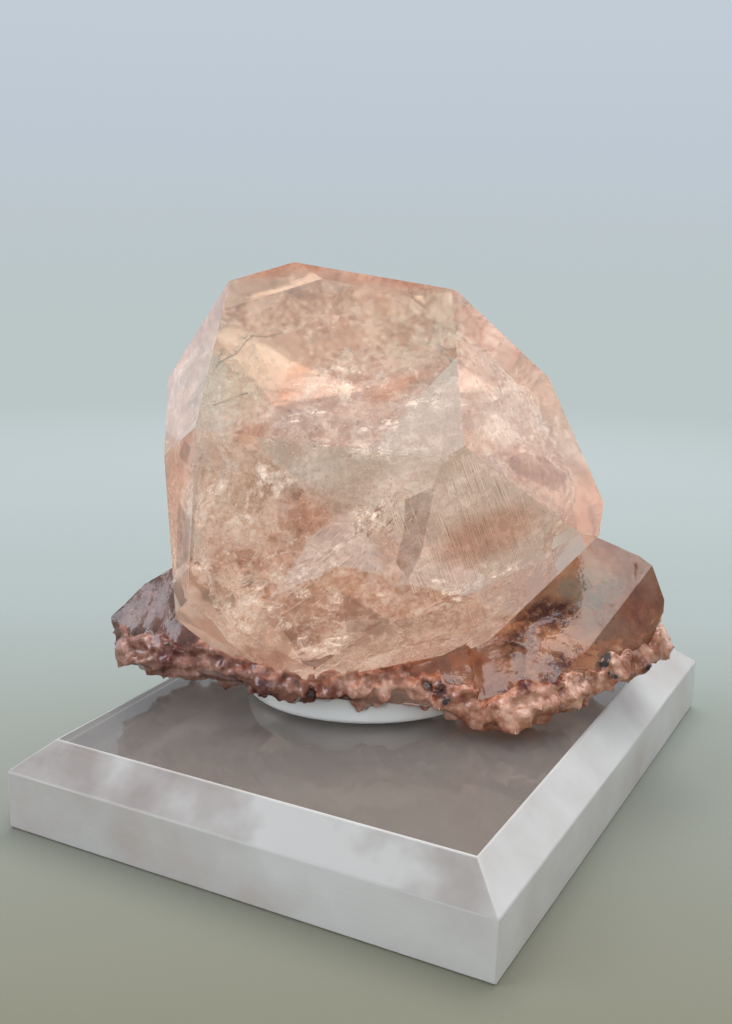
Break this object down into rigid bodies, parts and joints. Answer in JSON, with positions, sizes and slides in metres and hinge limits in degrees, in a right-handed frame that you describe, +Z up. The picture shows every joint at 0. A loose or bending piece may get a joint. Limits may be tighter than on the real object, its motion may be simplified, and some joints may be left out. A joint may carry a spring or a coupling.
{
  "type": "calcite crystal specimen on a display block",
  "caption": "Clear peach calcite crystal with smaller crystals and a toothed rim, set in putty on a bevelled clear acrylic display block.",
  "frame": {"origin": "centre of the display block's underside", "axes": "+Z up; X along the block's short side, Y along its long side; the specimen's best face looks 27.5 degrees round from -Y towards +X"},
  "size_m": [0.0828, 0.0966, 0.0809],
  "materials": {
    "acrylic": "clear cast acrylic, polished top, finely sawn and frosted edges",
    "putty": "white mineral putty with a wet gloss",
    "calcite": "clear to cloudy peach calcite, glassy faces with fine striations, brown-orange lower crystals"
  },
  "bodies": {
    "root": {"display_block": "acrylic", "mounting_putty": "putty", "calcite_crystals": "calcite"}
  },
  "joints": []
}
